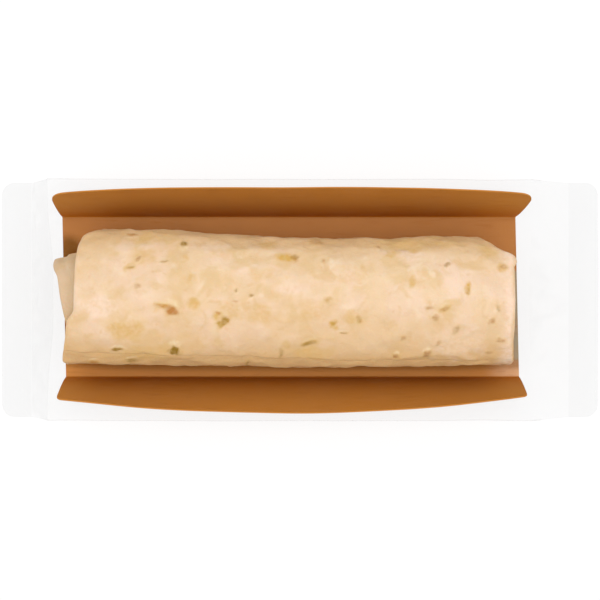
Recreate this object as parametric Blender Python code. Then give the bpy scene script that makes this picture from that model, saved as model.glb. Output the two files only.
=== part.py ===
"""A rolled wrap on a card tray, sealed in clear film: the closed form of the film pack, and the roll.

The pack lies on its flat base with the wrap's crown up. X runs along the roll, Y across it and Z up;
the origin is the middle of the pack's footprint, on the surface that it lies on. Units are metres.
The film is drawn round the tray's floor, out to its flared walls and over the crown of the wrap, and
is pressed flat into a crimped seal at each end. The pack's solid fills the film's form round the roll.
The film that lies on the crown is too thin for a solid, so the roll is bare there.
"""

import math

import bmesh
import bpy

# Pack, from cut edge to cut edge and seen from above
PACK_LENGTH = 0.238
PACK_WIDTH = 0.094
PACK_HEIGHT = 0.051

# Tray: an open-ended channel of folded card inside the film
TRAY_LENGTH = 0.187
TRAY_FLOOR_WIDTH = 0.066
TRAY_WALL_HEIGHT = 0.028
TRAY_SHIFT_X = -0.0038
TRAY_SHIFT_Y = 0.0013

# Wrap: the roll that lies in the tray
WRAP_WIDTH = 0.052
WRAP_LENGTH = 0.176
WRAP_SHIFT_X = -0.0032
WRAP_BASE_Z = 0.0013
CROWN_FALL = 0.0022
CROWN_ROUNDNESS = 2.2
BASE_ROUNDNESS = 3.0
# The roll's two sides, as (share of its half length, distance from the X axis)
FAR_SIDE = ((-1.0, 0.0276), (-0.6, 0.0270), (0.0, 0.0243), (1.0, 0.0244))
NEAR_SIDE = ((-1.0, 0.0245), (-0.4, 0.0258), (0.1, 0.0264), (1.0, 0.0251))
# Its two ends, as (y, x) from the near side to the far side
LEFT_END = ((-0.0241, -0.0923), (-0.0070, -0.0875), (-0.0030, -0.0853), (0.0230, -0.0845), (0.0275, -0.0805))
RIGHT_END = ((-0.0262, 0.0822), (-0.0150, 0.0808), (0.0128, 0.0812), (0.0160, 0.0822), (0.0246, 0.0700))
RIM_RADIUS = 0.0018
END_DISH = 0.004
# End face from its middle out: share of the way to its rim, and share of the dish's depth
FACE_PROFILE = ((0.3, 1.0), (0.6, 0.75), (0.85, 0.25), (1.0, 0.0))

# Tuck: the inner turns of the roll, which stick out of its left end. Its middle is (y, z)
TUCK_MIDDLE = (0.0, 0.0245)
TUCK_HALF_WIDTH = 0.0160
TUCK_HALF_HEIGHT = 0.0170
TUCK_TAPER = 0.0015
TUCK_ROOT_X = -0.0790
# Its end face, as (y, x) from the near side to the far side
TUCK_END = ((-0.0160, -0.0880), (0.0, -0.0909), (0.0090, -0.0918), (0.0160, -0.0942))

# Crimped end seals
SEAL_LENGTH = 0.012
SEAL_WIDTH = 0.0935
SEAL_Z = 0.014
SEAL_THICKNESS = 0.0008
SEAL_CORNER = 0.005

# Film: how far it stands off what it covers, and how it bends
FILM_SLACK = 0.0006
FLOOR_CORNER_RADIUS = 0.002
SHOULDER_RADIUS = 0.0045
ROOF_SAG = 0.0012
SLOPE_SAG = 0.0014
# How far the bare crown stands above the film's solid, and the gaps round the roll and at its ends
CROWN_SHOWS = 0.001
SIDE_GAP = 0.0003
END_GAP = 0.001
SHARP_EDGE_DEG = 30

# Mesh steps
ARC_STEPS = {"floor": 3, "shoulder": 5, "crown": 12}
LINE_STEPS = {"base": 8, "side": 6, "roof": 7}
BODY_RINGS = 17
SLOPE_RINGS = 6
CORNER_STEPS = 5
ROLL_AROUND = 44
ROLL_RINGS = 24
RIM_STEPS = 3
TUCK_AROUND = 36


def clear_scene():
    for item in list(bpy.data.objects):
        bpy.data.objects.remove(item)


def smooth(value):
    value = min(max(value, 0.0), 1.0)
    return value * value * (3 - 2 * value)


def mix(a, b, share):
    return a + (b - a) * share


def read_off(points, place):
    """Height at a place on the broken line through (place, height) points."""
    place = min(max(place, points[0][0]), points[-1][0])
    for (start, low), (end, high) in zip(points, points[1:]):
        if place <= end:
            return mix(low, high, (place - start) / (end - start))
    return points[-1][1]


# ---------------------------------------------------------------- film


def outward_normal(first, second):
    """Angle of the outward normal of the line that touches two circles on their right-hand side.
    A circle is (y, z, radius), and the circles are passed anticlockwise."""
    run_y = second[0] - first[0]
    run_z = second[1] - first[1]
    distance = math.hypot(run_y, run_z)
    lean = math.asin((first[2] - second[2]) / distance)
    return math.atan2(run_z, run_y) - math.pi / 2 + lean


def on_circle(circle, angle):
    return (
        circle[0] + circle[2] * math.cos(angle),
        circle[1] + circle[2] * math.sin(angle),
    )


def arc(circle, start, end, steps):
    """Points of an anticlockwise arc, its first point included and its last point left out."""
    turn = (end - start) % (2 * math.pi)
    return [on_circle(circle, start + turn * k / steps) for k in range(steps)]


def line(start, end, steps, sag=0.0):
    """Points of a line that sags at right angles to itself, without its last point."""
    run_y = end[0] - start[0]
    run_z = end[1] - start[1]
    length = math.hypot(run_y, run_z)
    points = []
    for k in range(steps):
        share = k / steps
        dip = sag * math.sin(math.pi * share) ** 2
        points.append(
            (
                start[0] + run_y * share - dip * run_z / length,
                start[1] + run_z * share + dip * run_y / length,
            )
        )
    return points


def wrap_middle_y(u):
    return (read_off(FAR_SIDE, u) - read_off(NEAR_SIDE, u)) / 2


def body_outline(along):
    """The film's outline across the pack at a share of its body, anticlockwise from the base's middle:
    tangent lines and arcs round the tray's two floor corners, its two walls and the wrap's crown."""
    floor_y = TRAY_FLOOR_WIDTH / 2 + FILM_SLACK - FLOOR_CORNER_RADIUS
    shoulder_y = PACK_WIDTH / 2 - SHOULDER_RADIUS
    crown_radius = WRAP_WIDTH / 2 + FILM_SLACK
    u = 2 * along - 1
    crown_z = PACK_HEIGHT - CROWN_SHOWS - crown_radius - CROWN_FALL * u**4
    circles = [
        ("floor", (TRAY_SHIFT_Y + floor_y, FLOOR_CORNER_RADIUS, FLOOR_CORNER_RADIUS)),
        ("shoulder", (shoulder_y, TRAY_WALL_HEIGHT, SHOULDER_RADIUS)),
        ("crown", (wrap_middle_y(u), crown_z, crown_radius)),
        ("shoulder", (-shoulder_y, TRAY_WALL_HEIGHT, SHOULDER_RADIUS)),
        ("floor", (TRAY_SHIFT_Y - floor_y, FLOOR_CORNER_RADIUS, FLOOR_CORNER_RADIUS)),
    ]
    lines = [("side", 0.0), ("roof", ROOF_SAG), ("roof", ROOF_SAG), ("side", 0.0)]
    base_angle = -math.pi / 2
    middle = (TRAY_SHIFT_Y, 0.0)
    angle = base_angle
    points = line(middle, on_circle(circles[0][1], angle), LINE_STEPS["base"])
    for k, (name, circle) in enumerate(circles):
        last = k == len(circles) - 1
        leave = base_angle if last else outward_normal(circle, circles[k + 1][1])
        points += arc(circle, angle, leave, ARC_STEPS[name])
        if last:
            points += line(on_circle(circle, leave), middle, LINE_STEPS["base"])
        else:
            kind, sag = lines[k]
            there = on_circle(circles[k + 1][1], leave)
            points += line(on_circle(circle, leave), there, LINE_STEPS[kind], sag)
        angle = leave
    return points


def seal_outline(outline, half_width):
    """Where the points of a body outline come to lie once the film is pressed flat: what is below the
    widest points goes into the seal's lower layer, and the rest into its upper layer."""
    count = len(outline)
    girth = [0.0]
    for k in range(count):
        start, end = outline[k], outline[(k + 1) % count]
        girth.append(girth[-1] + math.hypot(end[0] - start[0], end[1] - start[1]))
    right = max(range(count), key=lambda k: outline[k][0])
    left = min(range(count), key=lambda k: outline[k][0])
    half = SEAL_THICKNESS / 2
    points = []
    for k in range(count):
        if k <= right:
            share = girth[k] / girth[right]
            lift = -half
        elif k < left:
            share = 1 - 2 * (girth[k] - girth[right]) / (girth[left] - girth[right])
            lift = half
        else:
            share = (girth[k] - girth[count]) / (girth[count] - girth[left])
            lift = -half
        edge = k in (left, right)
        points.append((share * half_width, SEAL_Z + (0.0 if edge else lift)))
    return points


def end_of_contents(height, side):
    """X where the film leaves the tray, low down, or the end of the wrap, higher up."""
    tray_end = TRAY_SHIFT_X + side * (TRAY_LENGTH / 2 + FILM_SLACK)
    wrap_end = WRAP_SHIFT_X + side * (WRAP_LENGTH / 2 + FILM_SLACK)
    climb = (height - TRAY_WALL_HEIGHT) / (PACK_HEIGHT - TRAY_WALL_HEIGHT)
    return mix(tray_end, wrap_end, smooth(climb))


def ring(outline, xs):
    return [(x, y, z) for x, (y, z) in zip(xs, outline)]


def body_rings():
    """Rings of the pack's body, from its left end to its right end."""
    rings = []
    for k in range(BODY_RINGS):
        along = k / (BODY_RINGS - 1)
        outline = body_outline(along)
        xs = [
            mix(end_of_contents(z, -1), end_of_contents(z, 1), along)
            for _, z in outline
        ]
        rings.append(ring(outline, xs))
    return rings


def slope_rings(body_ring, side):
    """Rings of the film's slope from one end of the body to its seal, without the body's own ring."""
    outline = [(y, z) for _, y, z in body_ring]
    flat = seal_outline(outline, SEAL_WIDTH / 2)
    seal_x = side * (PACK_LENGTH / 2 - SEAL_LENGTH)
    rings = []
    for k in range(1, SLOPE_RINGS + 1):
        share = k / SLOPE_RINGS
        dip = SLOPE_SAG * math.sin(math.pi * share)
        points = []
        for (x, y, z), (flat_y, flat_z) in zip(body_ring, flat):
            above = smooth((z - SEAL_Z) / (PACK_HEIGHT - SEAL_Z))
            points.append(
                (
                    mix(x, seal_x, share),
                    mix(y, flat_y, share),
                    mix(z, flat_z, share) - dip * above,
                )
            )
        rings.append(points)
    return rings


def seal_rings(body_ring, side):
    """Rings of one flat seal, whose outer corners are rounded."""
    outline = [(y, z) for _, y, z in body_ring]
    rings = []
    for k in range(CORNER_STEPS + 1):
        angle = math.pi / 2 * k / CORNER_STEPS
        half_width = SEAL_WIDTH / 2 - SEAL_CORNER * (1 - math.cos(angle))
        x = side * (PACK_LENGTH / 2 - SEAL_CORNER * (1 - math.sin(angle)))
        flat = seal_outline(outline, half_width)
        rings.append(ring(flat, [x] * len(flat)))
    return rings


def film_rings():
    """Every ring of the pack from its left cut edge to its right one."""
    body = body_rings()
    left, right = body[0], body[-1]
    start = (slope_rings(left, -1) + seal_rings(left, -1))[::-1]
    return start + body + slope_rings(right, 1) + seal_rings(right, 1)


# ---------------------------------------------------------------- wrap


def roll_outline(u, stand_off):
    """The roll's outline across it at u, from -1 at its left end to 1 at its right end."""
    half_width = (read_off(FAR_SIDE, u) + read_off(NEAR_SIDE, u)) / 2
    half_height = (PACK_HEIGHT - CROWN_FALL * u**4 - WRAP_BASE_Z) / 2
    points = []
    for k in range(ROLL_AROUND):
        angle = 2 * math.pi * k / ROLL_AROUND
        across = math.cos(angle)
        up = math.sin(angle)
        power = mix(BASE_ROUNDNESS, CROWN_ROUNDNESS, smooth(up * 0.8 + 0.5))
        spread = (abs(across) / half_width) ** power + (abs(up) / half_height) ** power
        radius = spread ** (-1 / power) + stand_off
        y = wrap_middle_y(u) + radius * across
        z = WRAP_BASE_Z + half_height + radius * up
        points.append((y, z))
    return points


def roll_end(y, side, stand_off):
    return read_off(LEFT_END if side < 0 else RIGHT_END, y) + side * stand_off


def end_rings(outline_at, end_at, middle, dish=0.0):
    """Rings of an end, from the flat middle of its face, over its rounded edge, to its side. outline_at
    gives the side's outline at a stand-off, and end_at gives x on the face at a y and a stand-off."""
    rings = []
    rim = outline_at(-RIM_RADIUS)
    for reach, depth in FACE_PROFILE:
        points = [(mix(middle[0], y, reach), mix(middle[1], z, reach)) for y, z in rim]
        ends = [y for y, _ in points] if rings else [middle[0]] * len(points)
        rings.append(ring(points, [end_at(y, -dish * depth) for y in ends]))
    for k in range(RIM_STEPS):
        bend = math.pi / 2 * k / RIM_STEPS
        outline = outline_at(-RIM_RADIUS * (1 - math.sin(bend)))
        back = -RIM_RADIUS * (1 - math.cos(bend))
        rings.append(ring(outline, [end_at(y, back) for y, _ in outline]))
    return rings


def roll_end_rings(side, side_gap, end_gap, dish):
    middle = (wrap_middle_y(side), (WRAP_BASE_Z + PACK_HEIGHT) / 2)
    return end_rings(
        lambda stand_off: roll_outline(side, side_gap + stand_off),
        lambda y, stand_off: roll_end(y, side, end_gap + stand_off),
        middle,
        dish,
    )


def roll_rings(side_gap=0.0, end_gap=0.0, dish=0.0):
    """Rings of the whole roll from its left end to its right end, grown by a gap at its sides and
    its ends, and hollowed by a dish in each end face."""
    middle = []
    for k in range(ROLL_RINGS):
        u = 2 * k / (ROLL_RINGS - 1) - 1
        outline = roll_outline(u, side_gap)
        xs = []
        for y, _ in outline:
            left = roll_end(y, -1, end_gap - RIM_RADIUS)
            right = roll_end(y, 1, end_gap - RIM_RADIUS)
            xs.append(mix(left, right, (u + 1) / 2))
        middle.append(ring(outline, xs))
    start = roll_end_rings(-1, side_gap, end_gap, dish)
    end = roll_end_rings(1, side_gap, end_gap, dish)
    return start + middle + end[::-1]


def tuck_outline(stand_off):
    points = []
    for k in range(TUCK_AROUND):
        angle = 2 * math.pi * k / TUCK_AROUND
        y = TUCK_MIDDLE[0] + (TUCK_HALF_WIDTH + stand_off) * math.cos(angle)
        z = TUCK_MIDDLE[1] + (TUCK_HALF_HEIGHT + stand_off) * math.sin(angle)
        points.append((y, z))
    return points


def tuck_rings(gap=0.0):
    """Rings of the tuck, grown by a gap, from its end face to its root inside the roll."""
    face = end_rings(
        lambda stand_off: tuck_outline(gap + stand_off),
        lambda y, stand_off: read_off(TUCK_END, y) - gap - stand_off,
        TUCK_MIDDLE,
    )
    root = tuck_outline(gap + TUCK_TAPER)
    return face + [ring(root, [TUCK_ROOT_X] * len(root))]


# ---------------------------------------------------------------- solids


def loft(name, rings):
    """A closed mesh object through rings of equally many points, with a flat cap at each end."""
    work = bmesh.new()
    loops = [[work.verts.new(point) for point in points] for points in rings]
    count = len(rings[0])
    for first, second in zip(loops, loops[1:]):
        for k in range(count):
            after = (k + 1) % count
            work.faces.new((first[k], first[after], second[after], second[k]))
    work.faces.new(loops[0])
    work.faces.new(loops[-1][::-1])
    bmesh.ops.recalc_face_normals(work, faces=work.faces)
    mesh = bpy.data.meshes.new(name)
    work.to_mesh(mesh)
    work.free()
    made = bpy.data.objects.new(name, mesh)
    bpy.context.scene.collection.objects.link(made)
    return made


def combine(body, other, operation):
    """Joins another object to a body, or cuts it out of the body, and removes the other object."""
    modifier = body.modifiers.new(operation.lower(), "BOOLEAN")
    modifier.operation = operation
    modifier.object = other
    seen = body.evaluated_get(bpy.context.evaluated_depsgraph_get())
    body.data = bpy.data.meshes.new_from_object(seen)
    body.modifiers.clear()
    bpy.data.objects.remove(other)


def material(name, colour, roughness, alpha=1.0):
    made = bpy.data.materials.new(name)
    made.use_nodes = True
    shader = made.node_tree.nodes["Principled BSDF"]
    shader.inputs["Base Color"].default_value = (*colour, 1.0)
    shader.inputs["Roughness"].default_value = roughness
    shader.inputs["Metallic"].default_value = 0.0
    shader.inputs["Alpha"].default_value = alpha
    return made


def finish(made, look):
    made.data.materials.clear()
    made.data.materials.append(look)
    made.data.shade_smooth()
    made.data.set_sharp_from_angle(angle=math.radians(SHARP_EDGE_DEG))


def tortilla_roll():
    made = loft("tortilla_roll", roll_rings(dish=END_DISH))
    combine(made, loft("tuck", tuck_rings()), "UNION")
    finish(made, material("tortilla", (0.80, 0.58, 0.36), 0.6))


def film_pack():
    made = loft("film_pack", film_rings())
    combine(made, loft("roll_space", roll_rings(SIDE_GAP, END_GAP)), "DIFFERENCE")
    combine(made, loft("tuck_space", tuck_rings(END_GAP)), "DIFFERENCE")
    finish(made, material("clear_film", (0.93, 0.94, 0.94), 0.12, 0.3))


clear_scene()
film_pack()
tortilla_roll()
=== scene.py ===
"""Looks of a rolled wrap on a kraft card tray, sealed in a clear film pack and seen from straight above.

The CAD has two nodes. Here film_pack becomes thin film with the card tray in it, and tortilla_roll gets
its skin, its wound ends and its tuck. X runs along the roll, Y across it and Z up, in metres.
"""

import math
import random

import bpy
import numpy as np
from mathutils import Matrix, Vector, noise


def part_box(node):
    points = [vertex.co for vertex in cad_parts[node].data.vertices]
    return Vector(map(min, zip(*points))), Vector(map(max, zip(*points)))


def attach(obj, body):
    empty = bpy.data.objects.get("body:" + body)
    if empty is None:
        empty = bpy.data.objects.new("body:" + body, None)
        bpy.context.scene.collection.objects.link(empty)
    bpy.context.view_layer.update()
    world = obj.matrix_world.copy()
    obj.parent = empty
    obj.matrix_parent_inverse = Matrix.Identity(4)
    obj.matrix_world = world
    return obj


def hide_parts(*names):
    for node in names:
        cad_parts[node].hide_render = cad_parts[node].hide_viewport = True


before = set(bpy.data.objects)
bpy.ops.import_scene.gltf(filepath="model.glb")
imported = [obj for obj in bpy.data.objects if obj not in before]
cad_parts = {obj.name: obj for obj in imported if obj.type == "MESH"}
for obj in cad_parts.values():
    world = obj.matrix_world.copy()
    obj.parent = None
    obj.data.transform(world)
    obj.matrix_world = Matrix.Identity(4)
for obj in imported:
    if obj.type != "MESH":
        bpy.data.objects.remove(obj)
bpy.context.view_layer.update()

MM = 0.001

# View: the camera hangs straight above the pack's middle
CAMERA_HEIGHT = 0.54
VIEW_HALF_WIDTH = 0.123
SENSOR_WIDTH = 36.0

# Light: a wide disc above the pack, a white world, and a floor that glows so that it is white too
KEY_PLACE = (0.0, 0.10, 1.5)
KEY_SIZE = 1.1
KEY_POWER = 13.0
WORLD_STRENGTH = 0.92
FLOOR_GLOW = 0.79
FLOOR_REACH = 3.0
FLOOR_DROP = 0.0002

# Pack, as the frame gives it: the film lies on the crown of the roll, which is the pack's highest place
PACK_LOW, PACK_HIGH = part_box("film_pack")
ROLL_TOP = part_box("tortilla_roll")[1].z
PACK_LENGTH = PACK_HIGH.x - PACK_LOW.x
PACK_HEIGHT = ROLL_TOP - PACK_LOW.z
PACK_WIDTH = 0.094

# Tray: an open-ended channel of folded card
TRAY_LENGTH = 0.1854
TRAY_FLOOR_WIDTH = 0.066
TRAY_WALL_HEIGHT = 0.028
TRAY_SHIFT_X = -0.0038
TRAY_SHIFT_Y = 0.0013
TRAY_SKEW = 0.0015
CARD_THICKNESS = 0.00055
CARD_Z = 0.0007
FOLD_RADIUS = 0.0006
WALL_CURVE = 1.4
WALL_WAVE_DEPTH, WALL_WAVE_SIZE = 0.0003, 0.03
FAR_CORNER = 0.0070
NEAR_CORNER = 0.0030
# How far each wall leans out at its top: at the left end, in the middle and at the right end
FAR_FLARE = (0.0072, 0.0094, 0.0072)
NEAR_FLARE = (0.0072, 0.0122, 0.0060)
# How suddenly that lean changes towards the ends
FAR_FLARE_POWER, NEAR_FLARE_POWER = 4, 2
# How far each wall's top reaches past the end of its fold, at the left and at the right
FAR_REACH = (0.0004, 0.0036)
NEAR_REACH = (-0.0008, -0.0010)
# Painted shadow on the floor: a dark line past the wrap's near side, on the table's scale, and a soft
# dark spot beside its tuck, as (x, y, radius)
SHADOW_SCALE = 1.046
SHADOW_BELOW_Y = -0.01
SHADOW_REACH = 0.0030
SHADOW_STRENGTH = 0.53
SHADOW_SPOT = (-0.0945, 0.0192, 0.0036)
SHADOW_SPOT_REACH = 0.0058
SHADOW_SPOT_STRENGTH = 1.0
# Painted shadow: the floor's right end is grey and darker beside the wrap, between these two places
# across it
END_SHADOW_WIDTH = 0.0022
END_SHADOW_FROM, END_SHADOW_TO = -0.0255, 0.0130
END_SHADOW_EDGE, END_SHADOW_FADE = 0.0006, 0.002
# Painted light: the floor is lighter past the wrap's near side, and there it grows paler still to its
# right end
LIT_NEAR_FROM, LIT_NEAR_RUN = 0.018, 0.008
LIT_PALE_FROM_X = 0.0735
LIT_PALE_RUN = 0.0115

# Film, over the tray and the wrap and pressed flat at both ends
FILM_TRAY_LENGTH = 0.187
SEAL_LENGTH = 0.012
SEAL_WIDTH = 0.0935
SEAL_Z = 0.014
SEAL_THICKNESS = 0.0003
SEAL_CORNER = 0.005
CRIMP_PITCH = 0.0015
CRIMP_DEPTH = 0.00012
FILM_SLACK = 0.0006
FILM_BASE_Z = 0.00025
FLOOR_CORNER_RADIUS = 0.002
SHOULDER_RADIUS = 0.0045
CROWN_RADIUS = 0.0268
ROOF_SAG = 0.0012
SLOPE_SAG = 0.0014
WRINKLE_DEPTH, WRINKLE_SIZE = 0.00022, 0.0055
WRINKLE_STRETCH = (0.22, 1, 1)
WRINKLED_FROM = 0.55
PLEAT_DEPTH = 0.0011
FINE_PLEAT, BROAD_PLEAT, CREASE_SIZE = 0.0042, 0.0105, 0.007
SEAL_CURL, SEAL_CURL_SIZE = 0.0012, 0.028
SEAL_FADE = 0.0005
BACK_SEAM_WIDTH = 0.010
BACK_SEAM_RIPPLE = 0.00003
BACK_SEAM_THICKNESS = 0.00012

# Wrap: the roll in the tray. Its two sides as (share of the half length, distance from the X axis)
WRAP_HEIGHT = 0.0476
WRAP_LENGTH = 0.176
WRAP_SHIFT_X = -0.0032
WRAP_END_FALL = 0.0026
CROWN_ROUNDNESS = 2.2
BASE_ROUNDNESS = 3.0
FAR_SIDE = (
    (-1.0, 0.0276),
    (-0.8, 0.0275),
    (-0.6, 0.0270),
    (-0.35, 0.0254),
    (0.05, 0.0241),
    (0.5, 0.0240),
    (0.85, 0.0247),
    (1.0, 0.0243),
)
NEAR_SIDE = (
    (-1.0, 0.0247),
    (-0.65, 0.0258),
    (-0.35, 0.0259),
    (0.5, 0.0259),
    (1.0, 0.0254),
)

# Overlap: the outer turn's free edge, as (share of the half length, degrees from +Y)
OVERLAP_LINE = ((-1.0, 143.0), (-0.2, 145.0), (0.3, 149.0), (0.65, 153.0), (1.0, 157.0))
OVERLAP_STEP = 0.0004
OVERLAP_ROUND = 0.018
OVERLAP_WOBBLE, OVERLAP_WOBBLE_SIZE = 1.6, 0.16

# Ends of the roll as (y, x): where its end face is, from the far edge to the near edge
LEFT_END = (
    (0.0275, -0.0785),
    (0.0262, -0.0815),
    (0.0240, -0.0838),
    (0.0200, -0.0847),
    (-0.0037, -0.0853),
    (-0.0078, -0.0878),
    (-0.0151, -0.0892),
    (-0.0241, -0.0923),
)
RIGHT_END = (
    (0.0246, 0.0700),
    (0.0203, 0.0754),
    (0.0166, 0.0816),
    (0.0146, 0.0823),
    (0.0124, 0.0811),
    (-0.0150, 0.0809),
    (-0.0190, 0.0814),
    (-0.0225, 0.0822),
    (-0.0255, 0.0838),
)
RIM_RADIUS = 0.0015
# The roll's end faces wind round a place this far from its middle, at this share of its height
WIND_SHIFT_Y = -0.002
WIND_RISE = 0.47
LAYER_PITCH = 0.0042
LAYER_WAVER, LAYER_WAVER_SIZE = 0.30, 0.017
LAYER_UNEVEN, LAYER_UNEVEN_SIZE = 0.0006, 0.006
LAYER_GROOVE = 0.0022
GROOVE_CURVE = 0.45
# Painted shade in rust colour down the end faces' grooves
GROOVE_SHADE = 0.45
END_DISH = 0.0040

# Relief of the tortilla: depth and size of each kind of unevenness
BROAD_DEPTH, BROAD_SIZE = 0.0008, 0.026
FACET_DEPTH, FACET_SIZE = 0.0010, 0.012
DENT_DEPTH, DENT_SIZE = 0.00055, 0.0055
FINE_DEPTH, FINE_SIZE = 0.00016, 0.0022
RELIEF_RANGE = 0.0012
PIT_DEPTH = 0.0004
# Its own rosy tone and painted light: the roll's skin is paler and rosier from here to its right end
LIT_ROSE_FROM_X = 0.0735
LIT_ROSE_RUN = 0.0065
LIT_ROSE_STRENGTH = 0.5
# Painted shade: its skin is darker and warmer from this share of its half height down, and more on its
# near side
SIDE_SHADE, SIDE_FROM, SIDE_RUN = 0.70, 0.95, 0.5
NEAR_SHADE, NEAR_SHADE_FROM, NEAR_SHADE_RUN = 0.50, 0.007, 0.034

# Tuck: the inner turns of the roll, which stick out of its left end. Its middle is (y, z), and its end
# face is given as (y, x)
TUCK_MIDDLE = (0.0, 0.0245)
TUCK_HALF_WIDTH = 0.0165
TUCK_HALF_HEIGHT = 0.0170
TUCK_TAPER = 0.0028
TUCK_ROOT_X = -0.0790
TUCK_END = (
    (0.0165, -0.0961),
    (0.0145, -0.0956),
    (0.0118, -0.0945),
    (0.0085, -0.0926),
    (0.0, -0.0909),
    (-0.0165, -0.0878),
)
# Its outermost turn stops short of its end face
TUCK_LAYER = 0.0007
TUCK_LAYER_SETBACK = 0.0040
TUCK_LAYER_WAVE, TUCK_LAYER_WAVE_SIZE = 0.0008, 0.009
# Painted shade: its skin is darker on top, and most so beside the roll
TUCK_SHADE, TUCK_SHADE_BY_ROLL = 0.42, 0.25
TUCK_SHADE_FROM_X, TUCK_SHADE_RUN = -0.0905, 0.005

# Patches and griddle marks that show from above, by colour: place, length and width in mm on the table's
# scale, turn in degrees, and strength
MARKS = {}
MARKS["rose"] = (
    (-83.0, -3.0, 22.0, 9.0, 0, 0.45),
    (-4.0, 5.0, 13.0, 7.0, 0, 0.35),
    (45.5, 18.0, 12.0, 6.0, 0, 0.40),
    (64.0, -17.5, 26.0, 13.0, 0, 0.25),
)
MARKS["straw"] = (
    (-73.0, -13.0, 16.0, 7.6, -14, 0.45),
    (-66.5, -11.8, 7.0, 4.6, -35, 0.40),
    (-79.5, -9.0, 9.0, 5.3, 0, 0.15),
    (-60.0, 24.8, 22.0, 5.0, -2, 0.30),
    (-65.0, 18.0, 11.0, 6.0, 0, 0.35),
    (-65.0, -21.5, 34.0, 6.0, 0, 0.30),
    (-69.7, 13.5, 5.3, 2.9, 20, 0.50),
    (-58.6, -2.9, 4.1, 3.3, 0, 0.35),
    (-56.3, -2.3, 7.4, 2.2, -8, 0.70),
    (-43.5, -1.2, 5.7, 3.7, 0, 0.52),
    (-29.5, -4.0, 15.0, 9.0, 0, 0.35),
    (-16.0, -5.5, 13.0, 9.0, 0, 0.35),
    (-16.0, 11.5, 12.0, 6.0, 0, 0.30),
    (21.0, 11.0, 19.0, 9.0, 0, 0.24),
    (5.5, -21.5, 18.0, 6.0, 0, 0.26),
    (-47.4, 17.6, 3.7, 3.7, 0, 0.30),
    (-32.1, 19.3, 12.3, 4.9, 0, 0.25),
    (-5.1, 17.2, 8.2, 3.4, -8, 0.80),
    (-13.5, 22.6, 8.2, 3.3, 0, 0.35),
    (-44.7, 8.6, 3.7, 4.9, 0, 0.35),
    (-33.4, -6.8, 7.4, 4.9, -40, 0.60),
    (-31.4, -8.8, 4.6, 4.2, 0, 0.75),
    (-5.3, -18.9, 5.7, 4.5, 0, 0.30),
    (11.5, 0.0, 4.1, 2.9, 0, 0.42),
    (20.5, -6.6, 5.7, 5.3, -40, 0.33),
    (24.0, -7.8, 3.9, 2.4, -66, 0.35),
    (4.1, -17.6, 8.2, 3.3, 14, 0.45),
    (37.3, 18.9, 4.1, 3.3, 0, 0.40),
    (46.2, 7.0, 5.7, 2.9, 80, 0.50),
    (83.2, 13.5, 5.7, 3.3, 0, 0.45),
    (68.9, 4.5, 5.7, 2.9, 86, 0.70),
    (59.4, -3.7, 5.7, 2.5, 22, 0.50),
    (47.6, 20.5, 6.2, 2.9, 0, 0.45),
    (46.0, 22.6, 34.0, 5.0, 1, 0.30),
    (6.5, -4.5, 15.0, 8.5, 0, 0.25),
    (76.3, 18.9, 9.0, 5.7, 0, 0.30),
    (13.5, -10.3, 3.7, 4.5, 0, 0.70),
    (2.0, -21.3, 12.3, 4.1, 0, 0.35),
)
MARKS["olive"] = (
    (-47.6, 23.0, 3.3, 2.5, 0, 0.66),
    (-69.3, 13.3, 3.3, 1.2, 20, 0.35),
    (-55.8, 15.8, 4.1, 1.0, 8, 0.40),
    (-75.0, -20.3, 5.3, 1.4, 0, 0.68),
    (-69.1, -24.8, 4.9, 1.4, 0, 0.52),
    (-51.3, -20.7, 4.5, 3.3, 0, 1.00),
    (-31.4, -8.6, 3.9, 3.5, 0, 0.50),
    (-2.5, 17.4, 3.3, 2.0, 0, 0.40),
    (13.9, -9.7, 2.3, 2.2, 15, 0.20),
    (24.2, -7.8, 3.3, 1.8, -66, 0.30),
    (3.7, -17.8, 6.2, 1.8, 15, 0.46),
    (68.9, 3.4, 2.9, 1.6, 88, 0.26),
    (17.8, -13.5, 3.3, 0.9, 0, 0.50),
    (11.5, 0.2, 3.3, 2.2, 0, 0.18),
    (64.1, -11.9, 3.5, 2.2, 68, 0.28),
    (60.3, 14.4, 2.5, 1.8, 30, 0.45),
    (-19.8, 1.8, 2.0, 1.1, 0, 0.50),
    (-26.0, 4.1, 1.4, 1.4, 0, 0.55),
    (81.2, -3.3, 3.3, 1.2, -65, 0.30),
    (-7.8, -21.7, 3.7, 1.8, 85, 0.40),
    (-21.5, -25.6, 2.9, 1.2, 60, 0.40),
)
MARKS["rust"] = (
    (-52.3, -4.1, 5.7, 3.4, -30, 0.85),
    (-56.0, -2.6, 7.0, 1.5, -8, 0.50),
    (-84.6, -25.2, 3.7, 1.2, 0, 0.65),
    (-69.0, 26.7, 4.5, 1.1, 0, 0.50),
    (-33.4, -5.3, 2.5, 1.4, -35, 0.50),
    (-1.9, 17.2, 2.0, 2.5, 0, 0.40),
    (6.6, 23.4, 5.7, 2.5, 0, 0.30),
    (-26.4, -0.6, 2.9, 0.8, -15, 0.40),
)
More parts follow.
